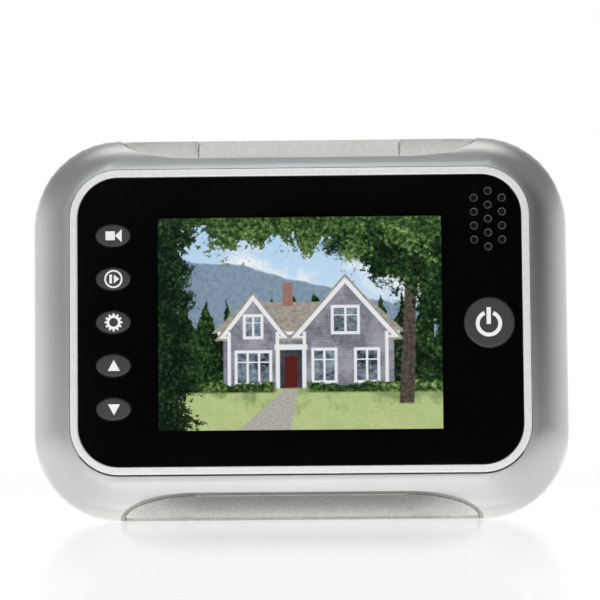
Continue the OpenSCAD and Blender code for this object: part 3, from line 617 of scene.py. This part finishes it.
shrubs = (0.205 + 0.11 * (clump - 0.35) + 0.05 * (leaf - 0.5)).above(v, 0.006)
beds = shrubs * v.above(0.175, 0.01) * (1 - u.between(PORCH_LEFT, PORCH_RIGHT, 0.02))
scene = beds.mix(scene, foliage(0.02))
bark = leaf.above(0.52, 0.4).mix((0.012, 0.010, 0.008), (0.17, 0.14, 0.11))
stem = 0.885 + 0.03 * (v - 0.5)
girth = 0.017 + 0.012 * (0.9 - v) + 0.012 * (leaf - 0.5)
trunk = (girth - abs(u - stem)).above(0, CRISP)
scene = (trunk * v.above(0.12, 0.01)).mix(scene, bark)
crown = 0.80 - 0.85 * (u - 0.62) + 0.44 * (clump - 0.5) + 0.40 * (leaf - 0.5)
scene = ((v - crown).above(0.03, 0.015) * (u + leaf * 0.5).above(0.82, 0.02)).mix(scene, foliage(-0.06))
canopy = (v + 0.55 * (clump - 0.5) + 0.45 * (leaf - 0.5)).above(0.86, 0.012)
scene = canopy.mix(scene, foliage(0.03))
sprays = v * 7.0 + leaf * 0.4
reach = 0.085 + 0.11 * sprays.math("PINGPONG", sprays, 0.5)
bough = (reach + 0.30 * (leaf - 0.5) + 0.16 * (clump - 0.5)).above(u, 0.008)
scene = bough.mix(scene, foliage(-0.12))
lit = inside(0, 1, 0, 1, 0.002)
lit.mix((0, 0, 0), scene).into("Emission Color")
paint_solids(view, "lcd_glass")


# Front housing: moulded in black ABS behind the panel, of which only the raised ring round it shows.
# The ring's crest is rounded, and it is sprayed in a lighter silver than the case.

ring_silver = speckled_silver("ring_silver", 0.25, (0.84, 0.84, 0.81), (1.0, 1.0, 0.97), 0.28, 0.012)
ring = from_solid("front_housing", "panel_ring")
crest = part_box("front_housing")[0].y


def cut_edges(piece, test):
    """A test for the edges where a wall along the depth cuts the outer face of a piece."""
    normals_of = {}
    for face in piece.data.polygons:
        for pair in face.edge_keys:
            normals_of.setdefault(pair, []).append(face.normal.copy())

    def on_cut(edge, at):
        depths = sorted(n.y for n in normals_of[tuple(sorted(edge.vertices))])
        return len(depths) == 2 and depths[0] < -0.15 and abs(depths[1]) < 0.05 and test(at)

    return on_cut


def round_cut(piece, test, width, segments, material=0):
    """Rounds the edges of such cuts where they pass a test. The rounding may have its own material."""
    picked(piece, "EDGE", cut_edges(piece, test))
    bpy.ops.mesh.bevel(offset=width, segments=segments, affect="EDGES", clamp_overlap=False,
                       loop_slide=False)
    bpy.ops.object.mode_set(mode="OBJECT")
    for face in piece.data.polygons:
        if face.select:
            face.material_index = material


round_cut(ring, lambda at: abs(at.y - crest) < 0.01 * MM, 0.4 * MM, 6)
smooth(ring)
settle(ring, ring_silver, "pearl_silver", "unit", "front_housing")
ring.data.materials.append(moulded_black)
panel_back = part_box("front_panel")[1].y
for face in ring.data.polygons:
    if face.center.y > panel_back - 0.3 * MM:
        face.material_index = 1


# Front panel: one sheet of clear acrylic, printed black on its back except over the display.
# Its edge is polished, and it is taped into the ring.

black, place = finish("black_acrylic", {"IOR": 1.49})
haze = place.noise(40, 4.0, 0.6)
haze.mix((0.0012, 0.0012, 0.0013), (0.0026, 0.0026, 0.0027)).into("Base Color")
(0.045 + 0.05 * haze).into("Roughness")
clear, place = finish("clear_acrylic", {"Base Color": (0.97, 0.98, 0.98, 1), "IOR": 1.49,
                                        "Transmission Weight": 1.0})
(0.012 * place.noise(40, 4.0, 0.6)).into("Roughness")

drilled, place = finish("drilled_edge", {"IOR": 1.49})
scratch = place.noise(3000, 2.0)
scratch.mix((0.10, 0.10, 0.10), (0.26, 0.26, 0.26)).into("Base Color")
(0.5 + 0.2 * scratch).into("Roughness")

panel = from_solid("front_panel", "acrylic_panel")
WINDOW_MARGIN = 0.35 * MM
half_w = PICTURE_W / 2 + WINDOW_MARGIN
window_low = picture_z - PICTURE_H / 2 - WINDOW_MARGIN
window_high = picture_z + PICTURE_H / 2 + WINDOW_MARGIN
for upright in (half_w, -half_w):
    picked(panel, "FACE", lambda face, middle: True)
    bpy.ops.mesh.bisect(plane_co=(upright, 0, 0), plane_no=(1, 0, 0))
for level in (window_low, window_high):
    picked(panel, "FACE", lambda face, middle: abs(middle.x) < half_w)
    bpy.ops.mesh.bisect(plane_co=(0, 0, level), plane_no=(0, 0, 1))
bpy.ops.object.mode_set(mode="OBJECT")
HOLES_MARGIN = 1.5 * MM
HOLE_CHAMFER = 0.13 * MM
hole_low, hole_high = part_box("speaker_gasket")


def among_holes(at):
    """Whether a place on the panel is over the speaker, where the sound holes are."""
    low_z, high_z = hole_low.z - HOLES_MARGIN, hole_high.z + HOLES_MARGIN
    return hole_low.x < at.x < hole_high.x and low_z < at.z < high_z


round_cut(panel, among_holes, HOLE_CHAMFER, 1)
round_edges(panel, 0.1 * MM, 3, 50)
settle(panel, black, "black_gloss", "unit", "front_panel")
panel.data.materials.append(clear)
panel.data.materials.append(drilled)
for face in panel.data.polygons:
    middle = face.center
    if abs(middle.x) < half_w and window_low < middle.z < window_high and abs(face.normal.y) > 0.9:
        face.material_index = 1
    elif among_holes(middle) and -0.9 < face.normal.y < -0.3:
        face.material_index = 2


# Bezel: a moulded frame whose face curves back to the sides, cut away at the finger scoops.
# It is sprayed in satin silver and clips over the front housing. The rounded edge of the lower scoop
# is given a darker silver, which is painted shade.

satin, place = finish("satin_silver", {"Metallic": 0.95, "IOR": 1.5})
flake = place.noise(4200, 2.0)
cloud = place.noise(60, 3.0)
(flake * 0.25 + cloud * 0.75).mix((0.535, 0.535, 0.52), (0.65, 0.65, 0.635)).into("Base Color")
(0.27 + 0.04 * flake).into("Roughness")
bezel = from_solid("bezel_frame", "bezel")
bezel_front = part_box("bezel_frame")[0].y
bezel_middle = (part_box("bezel_frame")[0].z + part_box("bezel_frame")[1].z) / 2
panel_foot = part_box("front_panel")[0].z
# Each row: from and to, in mm above the panel's foot, and the width of the inner edge's rounding.
INNER_ROUNDS = ((10, 200, 0.12 * MM), (3, 10, 0.2 * MM), (-20, 3, 0.32 * MM))
INNER_DEPTH = 0.05 * MM
# Each row: upper or lower scoop, the width of its edge's rounding and the rounding's material (1: painted
# shade).
SCOOP_ROUNDS = ((1, 0.35 * MM, 0), (-1, 0.8 * MM, 1))
SCOOP_DEPTH = 0.3 * MM
for low, high, width in INNER_ROUNDS:
    round_cut(bezel, lambda at: at.y - bezel_front < INNER_DEPTH
              and low * MM < at.z - panel_foot <= high * MM, width, 3)
for side, width, material in SCOOP_ROUNDS:
    round_cut(bezel, lambda at: at.y - bezel_front > SCOOP_DEPTH and (at.z - bezel_middle) * side > 0,
              width, 5, material)
round_edges(bezel, 0.1 * MM)
settle(bezel, satin, "satin_silver", "unit", "bezel_frame")
# A darker silver for the rounded edge of the lower scoop: painted shade.
painted_rim_shade, place = finish("painted_rim_shade_silver", {"Metallic": 0.2, "IOR": 1.5})
wear = place.noise(900, 3.0)
wear.mix((0.29, 0.29, 0.285), (0.37, 0.37, 0.36)).into("Base Color")
(0.38 + 0.1 * wear).into("Roughness")
bezel.data.materials.append(painted_rim_shade)


# Keys: dark grey moulded caps that stand a little proud of the panel, each with a white mark
# that is pad printed on its flat crown. A flange behind the panel keeps each one in.

key_grey, place = finish("key_grey", {"IOR": 1.5})
grain = place.noise(1500, 3.0)
grain.mix((0.030, 0.030, 0.030), (0.048, 0.048, 0.047)).into("Base Color")
(0.36 + 0.2 * grain).into("Roughness")
grain.bump(0.12, 0.02 * MM)

ink, place = finish("white_ink", {})
cover_up = place.noise(1200, 3.0)
cover_up.mix((0.95, 0.95, 0.95), (1.0, 1.0, 0.99)).into("Base Color")
(0.45 + 0.2 * cover_up).into("Roughness")

INK_DEPTH = 0.05 * MM
INK_PROUD = 0.012 * MM


def thicken():
    """Gives a flat mark, selected all over in edit mode, the thickness of its ink."""
    bpy.ops.mesh.select_all(action="SELECT")
    bpy.ops.mesh.extrude_region_move(TRANSFORM_OT_translate={"value": (0, INK_DEPTH, 0)})
    bpy.ops.mesh.select_all(action="SELECT")
    bpy.ops.mesh.normals_make_consistent(inside=False)


def disc(at, radius, vertices, turn=0.0, stretch=(1, 1)):
    """A flat disc or polygon that faces the room, left in edit mode."""
    bpy.ops.object.select_all(action="DESELECT")
    bpy.ops.mesh.primitive_circle_add(vertices=vertices, radius=radius, fill_type="NGON")
    mark = bpy.context.object
    mark.data.transform(Matrix.Translation(at) @ Matrix.Diagonal((stretch[0], 1, stretch[1], 1))
                        @ Matrix.Rotation(math.pi / 2, 4, "X") @ Matrix.Rotation(turn, 4, "Z"))
    bpy.ops.object.mode_set(mode="EDIT")
    bpy.ops.mesh.select_all(action="SELECT")
    return mark


def block(at, width, height):
    """A flat rectangle."""
    mark = disc(at, math.sqrt(0.5), 4, math.pi / 4, (width, height))
    thicken()
    bpy.ops.object.mode_set(mode="OBJECT")
    return mark


def arrow(at, width, height, turn):
    """A triangle whose point is turned from the right, anticlockwise as seen from the room."""
    mark = disc((0, 0, 0), 1, 3, -math.pi / 2)
    thicken()
    bpy.ops.object.mode_set(mode="OBJECT")
    centred = Matrix.Translation((-0.25, 0, 0))
    sized = Matrix.Diagonal((width / 1.5, 1, height / math.sqrt(3), 1)) @ centred
    mark.data.transform(Matrix.Translation(at) @ Matrix.Rotation(-turn, 4, "Y") @ sized)
    return mark


def hoop(at, radius, stroke, vertices=64, gap=0.0):
    """A flat ring, open at the top over a half angle where a gap is given."""
    mark = disc(at, radius, vertices)
    bpy.ops.mesh.inset(thickness=stroke)
    bpy.ops.mesh.delete(type="FACE")
    if gap:
        picked(mark, "FACE", lambda face, middle:
               abs(math.atan2(middle.x - at[0], middle.z - at[2])) < gap)
        bpy.ops.mesh.delete(type="FACE")
    thicken()
    bpy.ops.object.mode_set(mode="OBJECT")
    return mark


def cog(at, radius, root, bore, teeth):
    """A ring with square teeth, drawn out of its rim."""
    steps = 4 * teeth
    mark = hoop(at, root, root - bore, steps)

    def tooth(face, middle):
        if abs(face.normal.y) > 0.5 or math.hypot(middle.x - at[0], middle.z - at[2]) < 0.9 * root:
            return False
        share = math.atan2(middle.z - at[2], middle.x - at[0]) / (2 * math.pi) * teeth % 1
        return not 0.25 < share < 0.75

    picked(mark, "FACE", tooth)
    bpy.ops.mesh.extrude_region_shrink_fatten(TRANSFORM_OT_shrink_fatten={"value": radius - root})
    bpy.ops.object.mode_set(mode="OBJECT")
    return mark


def marked(key, *marks):
    """Joins the marks of a key into one print."""
    alone(marks[0])
    for mark in marks:
        mark.select_set(True)
    if len(marks) > 1:
        bpy.ops.object.join()
    marks[0].name = marks[0].data.name = f"print_{key}"
    settle(marks[0], ink, "key_grey", f"button_{key}")


places = {}
for key in KEYS:
    node = f"key_{key}"
    low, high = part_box(node)
    places[key] = Vector(((low.x + high.x) / 2, low.y - INK_PROUD, (low.z + high.z) / 2))
    cap = from_solid(node, f"cap_{key}", 0.2)
    smooth(cap, 40)
    settle(cap, key_grey, "key_grey", f"button_{key}", node)


def beside(key, right, up):
    """A place on a key's crown, in mm from its middle."""
    return places[key] + Vector((right * MM, 0, up * MM))


marked("record", block(beside("record", -0.66, 0), 2.32 * MM, 2.2 * MM),
       arrow(beside("record", 1.36, 0), 1.66 * MM, 3.3 * MM, math.pi))
marked("play", hoop(beside("play", 0.1, 0), 2.24 * MM, 0.42 * MM),
       block(beside("play", -0.58, 0), 0.66 * MM, 2.2 * MM),
       arrow(beside("play", 0.86, 0), 1.3 * MM, 2.2 * MM, 0))
marked("settings", cog(beside("settings", 0.1, 0), 2.2 * MM, 1.74 * MM, 1.08 * MM, 12))
marked("up", arrow(beside("up", 0.12, 0.1), 2.7 * MM, 3.0 * MM, math.pi / 2))
marked("down", arrow(beside("down", 0.12, -0.1), 2.7 * MM, 3.0 * MM, -math.pi / 2))
marked("power", hoop(beside("power", -0.12, -0.22), 3.24 * MM, 0.96 * MM, 96, math.radians(24)),
       block(beside("power", -0.16, 1.7), 1.05 * MM, 4.15 * MM))


# Studio: a white floor with a faint gloss and a white surround that is dark in front of the panel.
# The camera stands low, a little right of the middle, and looks slightly up.

bpy.ops.object.select_all(action="DESELECT")
floor_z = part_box("rear_case")[0].z
FLOOR_FRONT = -0.4
FLOOR_SIZE = 12
FLOOR_GAP = 0.02 * MM
bpy.ops.mesh.primitive_plane_add(size=FLOOR_SIZE,
                                 location=(0, FLOOR_FRONT + FLOOR_SIZE / 2, floor_z - FLOOR_GAP))
floor = bpy.context.object
floor.name = "floor"
bpy.ops.object.transform_apply()
paper = bpy.data.materials.new("white_paper")
paper.use_nodes = True
tree = paper.node_tree
tree.nodes.clear()
start = Tone(tree, None)
x, y, _ = start.node("TexCoord", {}, {}, "Object").axes()
seen = start.node("LightPath", {}, {}, "Is Camera Ray")
# A darker strip below the bezel's foot, a painted shadow of the unit that the lower scoop reflects, and
# less light from farther out at the sides.
painted_shadow = y.between(-29 * MM, -16 * MM, 5 * MM) * (1 - abs(x).above(36 * MM, 12 * MM))
past_ends = abs(x).above(50 * MM, 20 * MM)
far_out = abs(x).above(190 * MM, 200 * MM)
lamp = 1.75 - 1.6 * painted_shadow - 0.3 * past_ends - 0.5 * far_out
white = start.node("Emission", {}, {"Color": (1, 1, 1, 1), "Strength": seen * 1.03 + (1 - seen) * lamp})
sheen = start.node("BsdfGlossy", {}, {"Color": (1, 1, 1, 1), "Roughness": 0.08})
gloss = 0.11 + 0.28 * y.above(-0.24, 0.18)
mixed = start.node("MixShader", {}, {0: gloss, 1: white, 2: sheen})
output = tree.nodes.new("ShaderNodeOutputMaterial")
tree.links.new(mixed.socket, output.inputs[0])
floor.data.materials.append(paper)

world = bpy.data.worlds.new("white_room")
bpy.context.scene.world = world
world.use_nodes = True
tree = world.node_tree
tree.nodes.clear()
start = Tone(tree, None)
x, y, z = start.node("TexCoord", {}, {}, "Generated").axes()
# Degrees to the right of the front, and degrees above the level.
turn = x.math("ARCTAN2", x, 0 - y) * (180 / math.pi)
lift = z.math("ARCSINE", z, 0) * (180 / math.pi)


def grey(shade):
    return (shade, shade, shade)


level = turn.node("ValToRGB", {"stops": [
    (0.22, grey(1.0)), (0.36, grey(0.53)), (0.455, grey(0.33)), (0.485, grey(0.0)), (0.52, grey(0.0)),
    (0.58, grey(0.01)), (0.64, grey(0.17)), (0.70, grey(0.46)), (0.79, grey(0.83)), (0.90, grey(1.0))]},
    {0: turn / 360 + 0.5})
above = lift.node("ValToRGB", {"stops": [
    (0.10, (4.6, 5.0, 5.3)), (0.14, (3.8, 4.1, 4.4)), (0.19, (0.85, 0.9, 0.95)),
    (0.44, (0.58, 0.62, 0.62)), (0.58, grey(0.60)), (0.75, grey(1.1)), (1.0, grey(1.5))]}, {0: lift / 90})
open_front = turn.between(-13, 6, 8) + abs(turn).above(150, 40)
sides = 1 - open_front
aside = sides * (1 - lift.above(66, 20))
dim = turn.above(0, 60).mix(grey(0.34), grey(0.26))
glow = lift.above(10 + 8 * sides, 3 + 18 * sides).mix(level, aside.mix(above, dim))
lit_by = start.node("LightPath", {}, {}, "Is Diffuse Ray")
room = start.node("Background", {}, {"Color": glow, "Strength": 1 + 0.9 * lit_by})
backdrop = start.node("Background", {}, {"Color": (1, 1, 1, 1), "Strength": 1.0})
seen = start.node("LightPath", {}, {}, "Is Camera Ray")
both = start.node("MixShader", {}, {0: seen, 1: room, 2: backdrop})
output = tree.nodes.new("ShaderNodeOutputWorld")
tree.links.new(both.socket, output.inputs[0])

panel_low, panel_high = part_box("front_panel")
panel_z = (panel_low.z + panel_high.z) / 2
EYE = Vector((9.82 * MM, -614.92 * MM, panel_z - 34.78 * MM))
AIM = Vector((-0.07 * MM, -15.0 * MM, panel_z + 5.63 * MM))
ROLL = math.radians(0.49)
FOCAL_LENGTH = 144.2
SENSOR_WIDTH = 36.0
sight = (AIM - EYE).normalized()
right = sight.cross(Vector((0, 0, 1))).normalized()
up = right.cross(sight)
right, up = right * math.cos(ROLL) - up * math.sin(ROLL), up * math.cos(ROLL) + right * math.sin(ROLL)
lens_data = bpy.data.cameras.new("camera")
lens_data.lens, lens_data.sensor_width = FOCAL_LENGTH, SENSOR_WIDTH
lens_data.clip_start, lens_data.clip_end = 0.01, 100.0
eye = bpy.data.objects.new("camera", lens_data)
eye.matrix_world = Matrix((
    (right.x, up.x, -sight.x, EYE.x), (right.y, up.y, -sight.y, EYE.y),
    (right.z, up.z, -sight.z, EYE.z), (0, 0, 0, 1)))
bpy.context.scene.collection.objects.link(eye)
bpy.context.scene.camera = eye
bpy.context.scene.view_settings.view_transform = "Standard"
